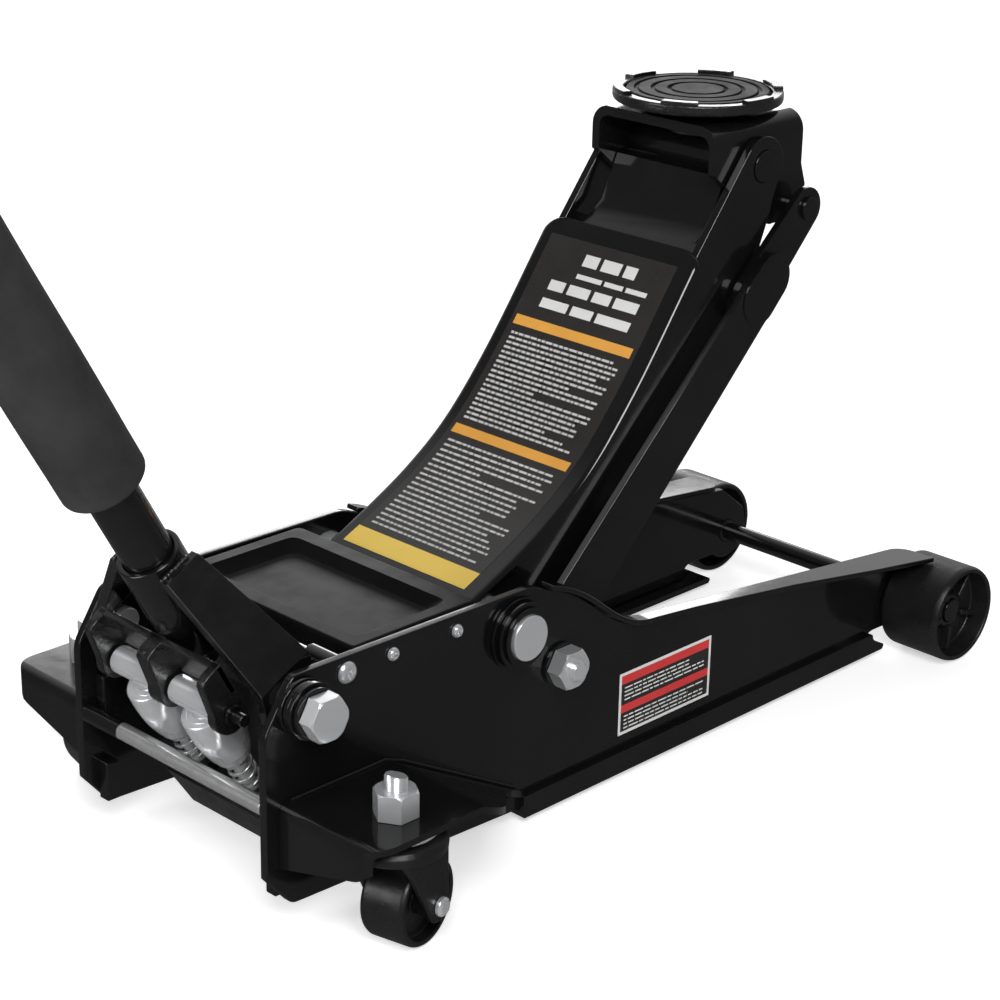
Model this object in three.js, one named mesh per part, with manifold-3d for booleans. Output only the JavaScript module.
// Hydraulic floor jack with a long two-piece handle, drawn half raised.
// Millimetres, +Z up, +X towards the front wheels, +Y to the left side.
// Places are measured from the rear edge of the side plates; the whole group is then
// moved back by ORIGIN_X, so the origin is on the floor under the middle of the jack.
import * as THREE from 'three';
import { mergeVertices } from 'three/addons/utils/BufferGeometryUtils.js';
import Module from 'manifold-3d';

const wasm = await Module();
wasm.setup();

// ---------------------------------------------------------------- driving dimensions
const GAP = 0.3;                 // clearance kept between touching pieces
const WHEEL_SIDES = 24;          // sides of round pieces, by size
const ROUND = 16;
const SMALL = 10;
const TINY = 8;
const ORIGIN_X = 129;            // middle of the jack, handle included

const PLATE_IN = 98;             // side plate, inner and outer face
const PLATE_OUT = 105;
const PLATE_TOP = 190;
const PLATE_FOOT = 11;

const HANDLE_PIVOT = [31, 167];  // x, z of the pump handle's pivot bolts
const MAIN_PIVOT = [236, 156.5]; // lift arm on the frame
const MAIN_PIN_R = 17.3;
const LINK_PIVOT = [282, 117.5]; // levelling links on the frame
const ARM_REACH = [295, 287.5];  // main pivot to the arm's top pivot, as drawn
const AXLE = [722, 41.7];        // front axle; its height is the front wheel's radius
const SPREADER = [72, 178];      // rod between the plates behind the tray
const REAR_ROD = [6, 97];
const TRAY_SCREWS = [[114, 178.5], [175, 177]];

const HANDLE_TILT = -29.1 * Math.PI / 180;  // handle leans back from the vertical
const HANDLE_OFFSET = 7;         // socket axis in front of the pivot
const HANDLE_R = 18.2;
const FOAM_R = 30.3;
const SOCKET_R = 23;
const SOCKET_TOP = 98;
const JOINT_AT = 600;            // where the two handle tubes meet
const HANDLE_END = 1080;

const WHEEL_IN = 106.2;          // front wheel's tread, inner and outer side
const WHEEL_OUT = 163.4;
const STRIP_T = 4;
const STRIP_END = 714;
const RAIL_Z = [5, 23];
const RAIL_X = [243, 685];

const WING_TOP = 100;
const WING_OUT = 200;
const WING_T = 5;
const CASTER = [59, 168];        // x, y of the swivel stud
const CASTER_TURN = -13 * Math.PI / 180;
const CASTER_TRAIL = 14;
const CASTER_R = 32.5;

const COVER_HALF = 79;           // half width of the arm's cover plate
const ARM_IN = 65.3;             // arm side plate, inner and outer face
const ARM_OUT = 72.5;
const LINK_LOW = [81.3, 88];     // link plate beside the frame, then joggled inwards
const LINK_HIGH = [74.5, 81];
const BRACKET_OUT = 63.5;
const BRACKET_T = 7.5;
const BRACKET_TOP = 477.5;
const SADDLE_X = 534.5;
const SADDLE_R = 66.5;
const SADDLE_TOP = 493;

const RAM_Z = 101;
const RAM_R = 14.3;
const LEVER_REACH = [35.6, -50.8];   // main pivot to the lever pin under it
const ROLLER_AT = [-28.5, 1.5];      // roller pin behind the handle pivot, along the handle
const ROLLER_R = 10.5;
const PLUNGER_Y = 30;

const TOP_PIVOT = [MAIN_PIVOT[0] + ARM_REACH[0], MAIN_PIVOT[1] + ARM_REACH[1]];
const LINK_TOP = [LINK_PIVOT[0] + ARM_REACH[0], LINK_PIVOT[1] + ARM_REACH[1]];
const LEVER_PIN = [MAIN_PIVOT[0] + LEVER_REACH[0], MAIN_PIVOT[1] + LEVER_REACH[1]];

// ---------------------------------------------------------------- materials
const paint = new THREE.MeshStandardMaterial({ color: 0x0b0b0c, roughness: 0.25, metalness: 0.3 });
const cast = new THREE.MeshStandardMaterial({ color: 0x121213, roughness: 0.5, metalness: 0.2 });
const zinc = new THREE.MeshStandardMaterial({ color: 0xb9bec2, roughness: 0.3, metalness: 1 });
const steel = new THREE.MeshStandardMaterial({ color: 0x8f9498, roughness: 0.35, metalness: 1 });
const foam = new THREE.MeshStandardMaterial({ color: 0x1b1b1b, roughness: 0.95, metalness: 0 });
const rubber = new THREE.MeshStandardMaterial({ color: 0x101010, roughness: 0.8, metalness: 0 });

// ---------------------------------------------------------------- geometry helpers
const X = new THREE.Vector3(1, 0, 0);
const Y = new THREE.Vector3(0, 1, 0);
const Z = new THREE.Vector3(0, 0, 1);

// One closed indexed mesh: shared corners merged, no empty triangles, faces pointing out.
function clean(geometry) {
  const bare = geometry.index ? geometry.toNonIndexed() : geometry.clone();
  bare.deleteAttribute('normal');
  bare.deleteAttribute('uv');
  const merged = mergeVertices(bare, 1e-3);
  const old = merged.index.array;
  const at = merged.attributes.position;
  const index = [];
  let volume = 0;
  const [a, b, c] = [new THREE.Vector3(), new THREE.Vector3(), new THREE.Vector3()];
  for (let i = 0; i < old.length; i += 3) {
    const [p, q, r] = [old[i], old[i + 1], old[i + 2]];
    if (p === q || q === r || r === p) continue;
    index.push(p, q, r);
    a.fromBufferAttribute(at, p);
    b.fromBufferAttribute(at, q);
    c.fromBufferAttribute(at, r);
    volume += a.dot(b.cross(c));
  }
  if (volume < 0) index.reverse();
  merged.setIndex(index);
  return merged;
}

function solid(geometry) {
  const g = clean(geometry);
  return new wasm.Manifold(new wasm.Mesh({
    numProp: 3,
    vertProperties: new Float32Array(g.attributes.position.array),
    triVerts: new Uint32Array(g.index.array),
  }));
}

function geometryOf(body) {
  const mesh = body.getMesh();
  const g = new THREE.BufferGeometry();
  g.setAttribute('position', new THREE.BufferAttribute(mesh.vertProperties, 3));
  g.setIndex(new THREE.BufferAttribute(mesh.triVerts, 1));
  return g;
}

const join = (...parts) => geometryOf(parts.map(solid).reduce((all, next) => all.add(next)));
const cut = (part, ...tools) => geometryOf(
  tools.map(solid).reduce((rest, tool) => rest.subtract(tool), solid(part)),
);
const overlap = (part, other) => geometryOf(solid(part).intersect(solid(other)));

// Outlines are [x, y] lists or THREE.Shapes, extruded across one axis.
const shapeOf = (outline) => (outline instanceof THREE.Shape ? outline
  : new THREE.Shape(outline.map(([x, y]) => new THREE.Vector2(x, y))));

function extrude(outline, depth, segments = 5) {
  return new THREE.ExtrudeGeometry(shapeOf(outline), { depth, bevelEnabled: false, curveSegments: segments });
}

// A plate with an x-z outline between two values of y.
function plateXZ(outline, y0, y1, segments) {
  const basis = new THREE.Matrix4().makeBasis(X, Z, Y.clone().negate());
  return extrude(outline, y1 - y0, segments).applyMatrix4(basis).translate(0, y1, 0);
}

// A plate with an x-y outline between two heights.
const plateXY = (outline, z0, z1, segments) => extrude(outline, z1 - z0, segments).translate(0, 0, z0);

// A bar with a y-z section between two values of x.
function barYZ(outline, x0, x1, segments) {
  const basis = new THREE.Matrix4().makeBasis(Y, Z, X);
  return extrude(outline, x1 - x0, segments).applyMatrix4(basis).translate(x0, 0, 0);
}

const box = (x0, x1, y0, y1, z0, z1) => new THREE.BoxGeometry(x1 - x0, y1 - y0, z1 - z0)
  .translate((x0 + x1) / 2, (y0 + y1) / 2, (z0 + z1) / 2);

// Round bar along Y through [x, z].
const rodY = (r, y0, y1, [x, z], sides = ROUND) => new THREE.CylinderGeometry(r, r, y1 - y0, sides)
  .translate(x, (y0 + y1) / 2, z);

const rodZ = (r, z0, z1, [x, y], sides = ROUND) => new THREE.CylinderGeometry(r, r, z1 - z0, sides)
  .rotateX(Math.PI / 2).translate(x, y, (z0 + z1) / 2);

// Hole for a round bar of radius r, with clearance: its flats stay outside the circle.
const around = (r, sides) => (r + GAP) / Math.cos(Math.PI / sides);
const boreY = (r, y0, y1, at, sides = ROUND) => rodY(around(r, sides), y0, y1, at, sides);
const boreZ = (r, z0, z1, at, sides = ROUND) => rodZ(around(r, sides), z0, z1, at, sides);

// Hexagon across flats, along Y or Z.
const hexY = (flats, y0, y1, at) => rodY(flats / Math.sqrt(3), y0, y1, at, 6);
const hexZ = (flats, z0, z1, at) => rodZ(flats / Math.sqrt(3), z0, z1, at, 6);

// Turned piece: [radius, height] profile about Y or Z.
const turnY = (profile, sides = ROUND) => new THREE.LatheGeometry(
  profile.map(([r, y]) => new THREE.Vector2(r, y)),
  sides,
);
const turnZ = (profile, sides) => turnY(profile, sides).rotateX(Math.PI / 2);

// The outline around two circles, as a strap between them.
function strap([x0, z0], r0, [x1, z1], r1) {
  const angle = Math.atan2(z1 - z0, x1 - x0);
  const lean = Math.acos((r0 - r1) / Math.hypot(x1 - x0, z1 - z0));
  const shape = new THREE.Shape();
  shape.absarc(x0, z0, r0, angle + lean, angle - lean + 2 * Math.PI, false);
  shape.absarc(x1, z1, r1, angle - lean, angle + lean, false);
  return shape;
}

// Points moved sideways from a line, to its right as it runs.
function beside(points, distance) {
  return points.map(([x, z], i) => {
    const [x0, z0] = points[Math.max(i - 1, 0)];
    const [x1, z1] = points[Math.min(i + 1, points.length - 1)];
    const length = Math.hypot(x1 - x0, z1 - z0);
    return [x + distance * (z1 - z0) / length, z - distance * (x1 - x0) / length];
  });
}

// ---------------------------------------------------------------- assembly helpers
const jack = new THREE.Group();
const frame = new THREE.Group();
const handleFrame = new THREE.Group();   // z along the handle, x square to it, at the pivot
frame.position.x = -ORIGIN_X;
handleFrame.position.set(HANDLE_PIVOT[0], 0, HANDLE_PIVOT[1]);
handleFrame.rotation.y = HANDLE_TILT;
frame.add(handleFrame);
jack.add(frame);

function add(name, geometry, material, group = frame) {
  const g = clean(geometry);
  g.computeVertexNormals();
  const mesh = new THREE.Mesh(g, material);
  mesh.name = name;
  group.add(mesh);
}

// Both sides: the piece is drawn on the left (+Y) and mirrored for the right.
function addPair(name, geometry, material, group = frame) {
  add(`${name}_left`, geometry.clone(), material, group);
  add(`${name}_right`, geometry.clone().scale(1, -1, 1), material, group);
}

// ---------------------------------------------------------------- frame
// The plate's top edge in front of the hump, which the reinforcing strip follows.
function frontEdge() {
  const hump = new THREE.CubicBezierCurve(
    new THREE.Vector2(266, 181.5),
    new THREE.Vector2(320, 166),
    new THREE.Vector2(332, 124),
    new THREE.Vector2(384, 121.3),
  );
  return [...hump.getPoints(7).map((p) => [p.x, p.y]), [STRIP_END, 83.3]];
}

function sidePlate() {
  const [ax, az] = AXLE;
  const shape = new THREE.Shape();
  shape.moveTo(0, 46);
  shape.lineTo(22, 20);
  shape.lineTo(240, PLATE_FOOT);
  shape.lineTo(664, PLATE_FOOT);
  shape.quadraticCurveTo(662, 23, 676, 23);
  shape.absarc(ax, az, 26, -2.3, 0.1, false);
  shape.lineTo(744.5, 58.8);
  frontEdge().reverse().forEach(([x, z]) => shape.lineTo(x, z));
  shape.lineTo(252, 187.5);
  shape.lineTo(27, PLATE_TOP);
  shape.lineTo(23, 187);
  shape.lineTo(0, 152);
  const hole = (r, at) => boreY(r, PLATE_IN - 20, PLATE_OUT + 1, at, SMALL);
  const lug = (x1, z0, z1) => box(REAR_ROD[0] + 6.6, x1, 88, PLATE_IN + 1, z0, z1);
  const boss = rodY(27, PLATE_OUT - 1, 112.5, MAIN_PIVOT);
  return cut(
    join(plateXZ(shape, PLATE_IN, PLATE_OUT), lug(26, 92, 126), lug(24, 26, 57), boss),
    hole(10, HANDLE_PIVOT),
    boreY(MAIN_PIN_R, 90, 120, MAIN_PIVOT),
    hole(8, LINK_PIVOT),
    hole(10, AXLE),
    hole(4, SPREADER),
    ...TRAY_SCREWS.map((at) => hole(3, at)),
  );
}

// It widens outwards to cover the front wheel's inner half.
function topStrip() {
  const edge = frontEdge();
  const under = beside(edge, -GAP);
  const over = beside(edge, -GAP - STRIP_T);
  const plan = new THREE.Shape();
  plan.moveTo(260, PLATE_IN);
  plan.lineTo(STRIP_END - 17, PLATE_IN);
  plan.quadraticCurveTo(STRIP_END, PLATE_IN, STRIP_END, PLATE_IN + 17);
  [[STRIP_END, 134], [640, 128], [545, 117], [430, 111], [260, 111]].forEach(([x, y]) => plan.lineTo(x, y));
  return overlap(plateXZ([...under, ...over.reverse()], 80, 140), plateXY(plan, 40, 200));
}

function rail() {
  const [z0, z1] = RAIL_Z;
  const y0 = PLATE_OUT + GAP;
  const section = [[84, z0], [y0 + 5, z0], [y0 + 5, z1], [y0, z1], [y0, z0 + 5.2], [84, z0 + 5.2]];
  const nose = new THREE.Shape();
  nose.moveTo(RAIL_X[0], z0);
  nose.lineTo(RAIL_X[1] - 3, z0);
  nose.lineTo(RAIL_X[1], z0 + 4);
  nose.lineTo(RAIL_X[1] - 16, z0 + 12);
  nose.lineTo(RAIL_X[1] - 18, z1);
  nose.lineTo(RAIL_X[0], z1);
  return overlap(barYZ(section, RAIL_X[0], RAIL_X[1]), plateXZ(nose, 80, 115));
}

function casterWing() {
  const y0 = PLATE_OUT + GAP;
  const low = WING_TOP - WING_T;
  const bend = [
    [10, 86], [10, 91], [12.6, 97.4], [19, WING_TOP], [108, WING_TOP], [122, 93.5], [240, 29],
    [240, 23.3], [119, 89.5], [106, low], [19, low], [16.2, 93.8], [15, 91], [15, 86],
  ];
  const plan = new THREE.Shape();
  plan.moveTo(9, y0);
  plan.lineTo(241, y0);
  plan.lineTo(241, 110);
  plan.bezierCurveTo(190, 118, 160, WING_OUT, 104, WING_OUT);
  plan.lineTo(26, WING_OUT);
  plan.quadraticCurveTo(9, WING_OUT, 9, WING_OUT - 14);
  const flange = [[y0, 52], [184, 74.5], [191, 80], [192, 90], [y0, 90]];
  return cut(
    join(overlap(plateXZ(bend, y0, WING_OUT + 1), plateXY(plan, 20, 110, 6)), barYZ(flange, 10, 15)),
    boreZ(8, 60, 120, CASTER),
  );
}

// A domed screw head on the outside of a side plate, with its shank.
function plateScrew(side, [x, z], head, shank, from) {
  const dome = [[0, 0], [head, 0], [head * 0.88, 2.4], [head * 0.55, 4.2], [0, 4.8]];
  const screw = join(
    rodY(shank, from, PLATE_OUT + 2, [x, z], TINY),
    turnY(dome, SMALL).translate(x, PLATE_OUT + GAP, z),
  );
  return side > 0 ? screw : screw.scale(1, -1, 1);
}

// Rod across the frame behind the tray: two black sleeves on it and a screw in each end.
function spreader() {
  const sleeve = rodY(9, 69, PLATE_IN - GAP, SPREADER, SMALL);
  return join(
    rodY(5, GAP - PLATE_IN, PLATE_IN - GAP, SPREADER, TINY),
    sleeve,
    sleeve.clone().scale(1, -1, 1),
    plateScrew(1, SPREADER, 8, 4, 90),
    plateScrew(-1, SPREADER, 8, 4, 90),
  );
}

// Pressed tray with a tapered pocket, held by two screws through each side plate.
function tray() {
  const [x0, x1, y1, z0, z1, floor] = [87, 205, 95.5, 172, 188, 180];
  const pocket = new THREE.BoxGeometry(90, 170, z1 - floor + 1).translate(145, 0, (z1 + floor + 1) / 2);
  const at = pocket.attributes.position;
  for (let i = 0; i < at.count; i += 1) {
    if (at.getZ(i) > floor + 1) continue;
    at.setXY(i, 145 + (at.getX(i) - 145) * 0.72, at.getY(i) * 0.8);
  }
  const under = box(x0 + 3, x1 - 3, 3 - y1, y1 - 3, z0 - 1, floor - 3.5);
  const screws = TRAY_SCREWS.flatMap((at) => [1, -1].map((side) => plateScrew(side, at, 5, 3, y1 - 2)));
  return join(cut(box(x0, x1, -y1, y1, z0, z1), pocket, under), ...screws);
}

addPair('side_plate', sidePlate(), paint);
addPair('top_strip', topStrip(), paint);
addPair('rail', rail(), paint);
addPair('caster_wing', casterWing(), paint);
add('rear_rod', rodY(6.2, GAP - PLATE_IN, PLATE_IN - GAP, REAR_ROD), steel);
add('spreader_rod', spreader(), zinc);
add('tool_tray', tray(), rubber);

// ---------------------------------------------------------------- front axle and wheels
add('front_axle', turnY([
  [0, -151], [10, -151], [10, -97.5], [8, -97], [8, 97], [10, 97.5], [10, 151], [0, 151],
], ROUND).translate(AXLE[0], 0, AXLE[1]), paint);
addPair('front_wheel', turnY([
  [10.4, WHEEL_IN], [16, WHEEL_IN], [16, 124], [36, 126], [37, WHEEL_IN], [40.5, WHEEL_IN],
  [AXLE[1], 109], [AXLE[1], 159], [40, WHEEL_OUT], [37, WHEEL_OUT - 0.6], [35, 146], [17, 143],
  [14, 149], [10.4, 149], [10.4, WHEEL_IN],
], WHEEL_SIDES).translate(AXLE[0], 0, AXLE[1]), cast);

// ---------------------------------------------------------------- rear casters
const casterFrame = (side) => {
  const group = new THREE.Group();
  group.position.set(CASTER[0], side * CASTER[1], 0);
  group.rotation.z = side * CASTER_TURN;
  frame.add(group);
  return group;
};

function casterFork() {
  const axle = [CASTER_TRAIL, CASTER_R];
  const cheek = new THREE.Shape();
  cheek.moveTo(-25, 86);
  cheek.lineTo(25, 86);
  cheek.lineTo(25.5, 45);
  cheek.absarc(axle[0], axle[1], 12.5, 0.2, -2.3, true);
  cheek.lineTo(-17, 66);
  cheek.lineTo(-25, 76);
  const cheeks = [[-26.5, -21], [21, 26.5]].map(([y0, y1]) => plateXZ(cheek, y0, y1, 4));
  const crown = cut(rodZ(36, 78, 88.5, [0, 0], WHEEL_SIDES), rodZ(31, 70, 83.5, [0, 0], WHEEL_SIDES));
  const rivet = [[-31.5, -26], [26, 31.5]].map(([y0, y1]) => rodY(7, y0, y1, axle, SMALL));
  return join(
    cut(join(...cheeks, crown), boreZ(8, 70, 100, [0, 0])),
    rodY(5, -28, 28, axle, TINY),
    ...rivet,
  );
}

['left', 'right'].forEach((name, i) => {
  const side = i === 0 ? 1 : -1;
  const stud = [CASTER[0], side * CASTER[1]];
  const group = casterFrame(side);
  add(`caster_stud_${name}`, join(
    rodZ(8, 77, 129, stud),
    rodZ(13, 76, 83.2, stud),
    rodZ(30, 89, 94.7, stud, ROUND),
    hexZ(28, WING_TOP + GAP, 117, stud),
  ), zinc);
  add(`caster_fork_${name}`, casterFork(), cast, group);
  add(`caster_wheel_${name}`, turnY([
    [5.4, -20.5], [10, -20.5], [10, -9], [27, -9], [28, -17.5], [31, -17.5], [CASTER_R, -15],
    [CASTER_R, 15], [31, 17.5], [28, 17.5], [27, 9], [10, 9], [10, 20.5], [5.4, 20.5], [5.4, -20.5],
  ], ROUND).translate(CASTER_TRAIL, 0, CASTER_R), cast, group);
});

// ---------------------------------------------------------------- pivots in the side plates
add('main_pin', rodY(MAIN_PIN_R, -120, 120, MAIN_PIVOT), zinc);
addPair('link_bolt', join(
  rodY(8, 78, 129, LINK_PIVOT, SMALL),
  rodY(13, 77.5, 81, LINK_PIVOT, SMALL),
  rodY(17, PLATE_OUT + GAP, 109, LINK_PIVOT),
  hexY(25, 108, 123, LINK_PIVOT),
), zinc);
add('pivot_bolt_left', rodY(10, 80, 107, HANDLE_PIVOT, SMALL), zinc);
add('pivot_bolt_right', join(
  rodY(10, -124, -80, HANDLE_PIVOT, SMALL),
  rodY(20.5, -123, -PLATE_OUT - GAP, HANDLE_PIVOT),
  hexY(30, -136, -122, HANDLE_PIVOT),
), zinc);

// ---------------------------------------------------------------- handle yoke
function yokeArm() {
  const inside = SOCKET_R + GAP;
  const section = [[92, -24], [92, 17], [30.8, 92], [inside, 92], [inside, 88], [84.5, 13], [84.5, -24]];
  const side = new THREE.Shape();
  side.moveTo(-6, 92);
  side.lineTo(25, 92);
  side.lineTo(31, 14);
  side.quadraticCurveTo(28, -10, 12, -18.4);
  side.absarc(0, 0, 22, -1, -2.9, true);
  side.lineTo(-15, 20);
  return cut(overlap(barYZ(section, -30, 40), plateXZ(side, 10, 100)), boreY(10, 60, 100, [0, 0]));
}

function rollerBracket() {
  const [u, s] = ROLLER_AT;
  const ear = new THREE.Shape();
  ear.moveTo(-16.4, 40);
  ear.lineTo(-22, 40);
  ear.lineTo(-42, 14);
  ear.absarc(u, s, 14, 2.8, 5.6, false);
  ear.lineTo(-16.4, 0);
  const ears = [[-65, -57], [-7, 7], [57, 65]].map(([y0, y1]) => plateXZ(ear, y0, y1, 4));
  return cut(join(box(-22, -16.4, -65, 65, 14, 40), ...ears), boreY(4.5, -70, 70, ROLLER_AT, TINY));
}

const socketAt = [HANDLE_OFFSET, 0];
add('handle_socket', cut(
  rodZ(SOCKET_R, 14, SOCKET_TOP, socketAt, ROUND),
  boreZ(HANDLE_R, 30, SOCKET_TOP + 1, socketAt),
  rodZ(7.5, 10, 40, socketAt, SMALL),
), paint, handleFrame);
addPair('yoke_arm', yokeArm(), paint, handleFrame);
add('roller_bracket', rollerBracket(), paint, handleFrame);
add('roller_pin', rodY(4.5, -79, 72, ROLLER_AT, TINY), steel, handleFrame);
addPair('pump_roller', cut(
  rodY(ROLLER_R, 9, 55, ROLLER_AT),
  boreY(4.5, 8, 56, ROLLER_AT, TINY),
), zinc, handleFrame);

// ---------------------------------------------------------------- handle
const onHandle = (profile, sides) => turnZ(profile, sides).translate(HANDLE_OFFSET, 0, 0);
add('lower_handle_tube', onHandle([
  [15, 34], [HANDLE_R, 34], [HANDLE_R, JOINT_AT], [15, JOINT_AT], [15, 34],
], ROUND), paint, handleFrame);
add('foam_sleeve', onHandle([
  [HANDLE_R + GAP, 163], [24, 163], [28.5, 165.5], [FOAM_R, 171], [FOAM_R, 552], [28.5, 557.5], [24, 560],
  [HANDLE_R + GAP, 560], [HANDLE_R + GAP, 163],
], ROUND), foam, handleFrame);
add('upper_handle_tube', onHandle([
  [0, HANDLE_END - 7], [12, HANDLE_END - 7], [12, JOINT_AT - 60], [14.6, JOINT_AT - 60],
  [14.6, JOINT_AT + GAP], [HANDLE_R, JOINT_AT + GAP], [HANDLE_R, HANDLE_END - 130],
  [15, HANDLE_END - 125], [15, HANDLE_END - 3], [0, HANDLE_END - 3],
], ROUND), paint, handleFrame);
add('hand_grip', onHandle([
  [15.3, HANDLE_END - 124], [19.5, HANDLE_END - 124], [21, HANDLE_END - 118], [19.6, HANDLE_END - 100],
  [19.6, HANDLE_END - 12], [21.5, HANDLE_END - 8], [20, HANDLE_END], [0, HANDLE_END + 2],
  [0, HANDLE_END - 2.6], [15.3, HANDLE_END - 2.6], [15.3, HANDLE_END - 124],
], ROUND), rubber, handleFrame);
add('release_dog', onHandle([
  [0, -8], [6.5, -8], [6.5, 14], [7, 14], [7, 30], [14, 30.5], [14, 33.4], [0, 33.4],
], SMALL), cast, handleFrame);

// ---------------------------------------------------------------- pump and ram
const pumpCap = () => turnZ([
  [0, -9.4], [14.4, -9.4], [15.6, -11.4], [17, -27], [16.6, -42], [14.6, -52], [12.6, -58],
  [11.6, -58], [11.6, -30], [6, -30], [6, -112], [0, -112],
], ROUND);
const pumpSpring = () => turnZ([[6.8, -31], [10.8, -31], [10.8, -91.5], [6.8, -91.5], [6.8, -31]], ROUND);
['left', 'right'].forEach((name, i) => {
  const y = i === 0 ? PLUNGER_Y : -PLUNGER_Y;
  add(`pump_plunger_${name}`, pumpCap().translate(ROLLER_AT[0], y, 0), zinc, handleFrame);
  add(`pump_spring_${name}`, pumpSpring().translate(ROLLER_AT[0], y, 0), steel, handleFrame);
});

// The pump block's rear face is square to the plungers.
const alongX = (geometry) => geometry.rotateY(Math.PI / 2);
const tilted = (geometry) => geometry.rotateY(HANDLE_TILT).translate(HANDLE_PIVOT[0], 0, HANDLE_PIVOT[1]);
function pumpBlock() {
  const outline = [[62, 24], [120, 24], [120, 140], [80, 140], [72.6, 130], [72.6, 75.7], [39.4, 57.2]];
  const seat = (y) => tilted(rodZ(14, -101, -92.2, [ROLLER_AT[0], y]));
  const bore = (y) => tilted(boreZ(6, -134, -90, [ROLLER_AT[0], y], SMALL));
  return cut(
    join(plateXZ(outline, -52, 52), box(88, 116, -97.5, 97.5, 62, 100), seat(PLUNGER_Y), seat(-PLUNGER_Y)),
    bore(PLUNGER_Y),
    bore(-PLUNGER_Y),
    alongX(boreZ(RAM_R, 80, 121, [0, 0])).translate(0, 0, RAM_Z),
  );
}

add('pump_block', pumpBlock(), cast);
add('ram_cylinder', alongX(turnZ([
  [15, 120.3], [36, 120.3], [36, 172], [33, 179], [15, 179], [15, 120.3],
], ROUND)).translate(0, 0, RAM_Z), cast);

// Rod and crosshead as one turned and plated piece; the push link bears on its flat face.
const RAM_FACE = LEVER_PIN[0] - 21.8;
add('ram_rod', join(
  alongX(rodZ(RAM_R, 140, RAM_FACE - 6, [0, 0])).translate(0, 0, RAM_Z),
  box(RAM_FACE - 9, RAM_FACE, -23, 23, RAM_Z - 17, RAM_Z + 26),
), steel);

// ---------------------------------------------------------------- lift arm
// Outer line of the cover plate, from the tray up to its top end.
function coverLine() {
  const line = new THREE.CatmullRomCurve3([
    [215, 176], [262, 198], [300, 219], [337, 246], [380, 292], [454, 391],
  ].map(([x, z]) => new THREE.Vector3(x, z, 0)), false, 'centripetal');
  return line.getPoints(11).map((p) => [p.x, p.y]);
}

function armPlate() {
  const [tx, tz] = TOP_PIVOT;
  const shape = new THREE.Shape();
  const edge = beside(coverLine(), 4.4);
  shape.moveTo(206, 150);
  shape.lineTo(...edge[0]);
  edge.slice(1).forEach(([x, z]) => shape.lineTo(x, z));
  shape.absarc(tx, tz, 23, 2.5, -0.75, true);
  shape.lineTo(538, 398);
  shape.lineTo(526, 369);
  shape.lineTo(300, 130);
  shape.quadraticCurveTo(272, 118, 240, 118);
  shape.quadraticCurveTo(212, 124, 206, 150);
  return cut(
    plateXZ(shape, ARM_IN, ARM_OUT),
    boreY(MAIN_PIN_R, 60, 80, MAIN_PIVOT),
    boreY(12, 60, 80, TOP_PIVOT),
  );
}

function armCover() {
  const outer = coverLine();
  const inner = beside(outer, 4);
  return plateXZ([...outer, ...inner.reverse()], -COVER_HALF, COVER_HALF);
}

// Web between the arm plates; its upper part is narrower, to pass inside the saddle bracket.
function armCrossPlate() {
  const line = [[447, 371], [470, 388], [488, 401], [505, 436]];
  const web = (half) => plateXZ([...line, ...beside(line, 6).reverse()], -half, half);
  return join(
    overlap(web(ARM_IN - GAP), box(400, 474, -80, 80, 300, 450)),
    web(BRACKET_OUT - BRACKET_T - 1),
  );
}

// Tube over the main pin, two lever plates under it and the pin that the push link turns on.
function armLever() {
  const plate = strap(MAIN_PIVOT, 22, LEVER_PIN, 14);
  const pin = rodY(8, -35, 35, LEVER_PIN, SMALL);
  const whole = join(
    rodY(21.5, GAP - ARM_IN, ARM_IN - GAP, MAIN_PIVOT),
    plateXZ(plate, 26, 34),
    plateXZ(plate, -34, -26),
    pin,
  );
  return cut(whole, boreY(MAIN_PIN_R, -80, 80, MAIN_PIVOT));
}

function pushLink() {
  const [x, z] = LEVER_PIN;
  const shape = new THREE.Shape();
  shape.absarc(x, z, 13, -1.4, 1.4, false);
  shape.lineTo(x - 10, z + 10);
  shape.quadraticCurveTo(x - 30, z, x - 10, z - 10);
  return cut(plateXZ(shape, -25.5, 25.5), boreY(8, -30, 30, LEVER_PIN, SMALL));
}

addPair('arm_plate', armPlate(), paint);
add('arm_cover', armCover(), paint);
add('arm_cross_plate', armCrossPlate(), paint);
add('arm_lever', armLever(), paint);
add('arm_top_pin', rodY(12, -73.7, 73.7, TOP_PIVOT), paint);
add('push_link', pushLink(), cast);

// ---------------------------------------------------------------- levelling links
// Each link runs beside the frame and steps inwards near its top.
function levelLink() {
  const [x0, z0] = LINK_PIVOT;
  const [x1, z1] = LINK_TOP;
  const along = new THREE.Vector2(ARM_REACH[0], ARM_REACH[1]).normalize();
  const step = LINK_TOP.map((value, i) => value - 66 * along.getComponent(i));
  const knee = LINK_TOP.map((value, i) => value - 86 * along.getComponent(i));
  const low = join(
    plateXZ(strap([x0, z0], 24, knee, 20), ...LINK_LOW),
    plateXZ(strap(knee, 20, step, 19.5), LINK_HIGH[1] - 1, LINK_LOW[1]),
  );
  const high = plateXZ(strap(knee, 20, [x1, z1], 16.5), ...LINK_HIGH);
  return cut(join(low, high), boreY(8, 70, 95, LINK_PIVOT, SMALL), boreY(7, 70, 95, LINK_TOP, SMALL));
}
addPair('level_link', levelLink(), paint);

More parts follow.
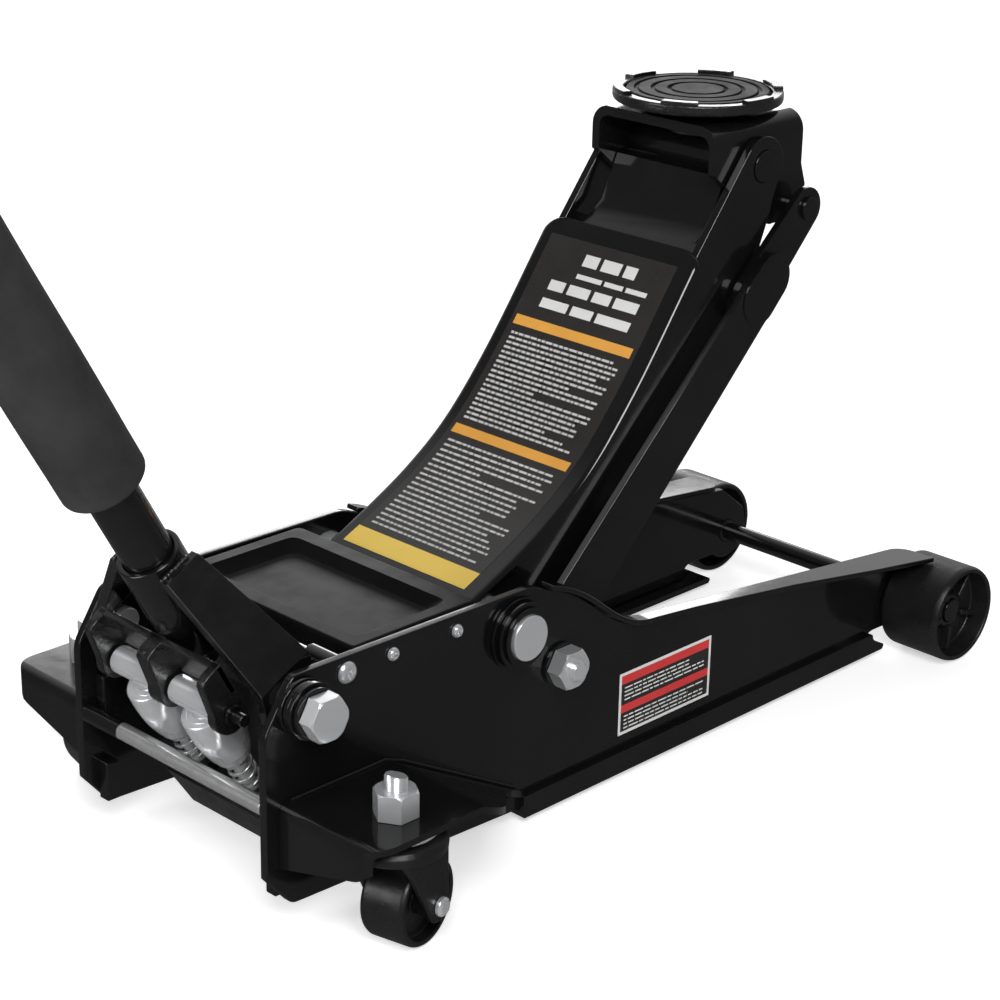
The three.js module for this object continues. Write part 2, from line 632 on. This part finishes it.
// ---------------------------------------------------------------- saddle and its bracket
function saddleBracket() {
  const [x0, x1] = [484, 588];
  const inner = BRACKET_OUT - BRACKET_T;
  const arch = (half, top, r) => {
    const shape = new THREE.Shape();
    shape.moveTo(-half, 380);
    shape.lineTo(half, 380);
    shape.lineTo(half, top - r);
    shape.absarc(half - r, top - r, r, 0, Math.PI / 2, false);
    shape.absarc(r - half, top - r, r, Math.PI / 2, Math.PI, false);
    return shape;
  };
  const [lx, lz] = LINK_TOP;
  const cheek = new THREE.Shape();
  cheek.moveTo(x0, BRACKET_TOP + 1);
  cheek.lineTo(x0, 442);
  cheek.lineTo(506, 424);
  cheek.lineTo(552, lz - 12);
  cheek.absarc(lx, lz, 17, -2.4, 0, false);
  cheek.lineTo(lx + 17, lz + 14);
  cheek.lineTo(x1, 436);
  cheek.lineTo(x1, BRACKET_TOP + 1);
  const shell = cut(
    barYZ(arch(BRACKET_OUT, BRACKET_TOP, 16), x0, x1 + 8, 4),
    barYZ(arch(inner, BRACKET_TOP - BRACKET_T, 9), x0 - 1, x1 + 9, 4),
  );
  return cut(
    overlap(shell, plateXZ(cheek, -BRACKET_OUT - 1, BRACKET_OUT + 1)),
    boreY(12, -90, 90, TOP_PIVOT),
    boreY(7, -90, 90, LINK_TOP, SMALL),
    boreZ(16, 460, 480, [SADDLE_X, 0]),
  );
}

function saddle() {
  const base = BRACKET_TOP + GAP;
  const cup = turnZ([
    [0, 459], [22, 459], [22, 465], [16, 466], [16, base], [40, base], [46, 480.5], [61, 482.5],
    [65.5, 484], [SADDLE_R, 486], [SADDLE_R, 491], [65.5, SADDLE_TOP - 1], [58, SADDLE_TOP - 1],
    [57, 485.5], [0, 485.5],
  ], WHEEL_SIDES).translate(SADDLE_X, 0, 0);
  const lugs = Array.from({ length: 6 }, (_, i) => {
    const arc = new THREE.Shape();
    const from = (i + 0.25) * Math.PI / 3;
    arc.absarc(0, 0, SADDLE_R - 0.4, from, from + 0.45, false);
    arc.absarc(0, 0, 58.6, from + 0.45, from, true);
    return plateXY(arc, 488, SADDLE_TOP + 1.5, 3).translate(SADDLE_X, 0, 0);
  });
  return join(cup, ...lugs);
}

add('saddle_bracket', saddleBracket(), paint);
addPair('link_pin', join(
  rodY(7, BRACKET_OUT - BRACKET_T, 82, LINK_TOP, SMALL),
  rodY(9, LINK_HIGH[1] + GAP, 84.2, LINK_TOP, SMALL),
), paint);
add('saddle', saddle(), cast);
add('saddle_pad', turnZ([
  [0, 485.8], [56.4, 485.8], [56.4, 490.5], [54.5, 492.2], [0, 492.2],
], WHEEL_SIDES).translate(SADDLE_X, 0, 0), rubber);

export default jack;
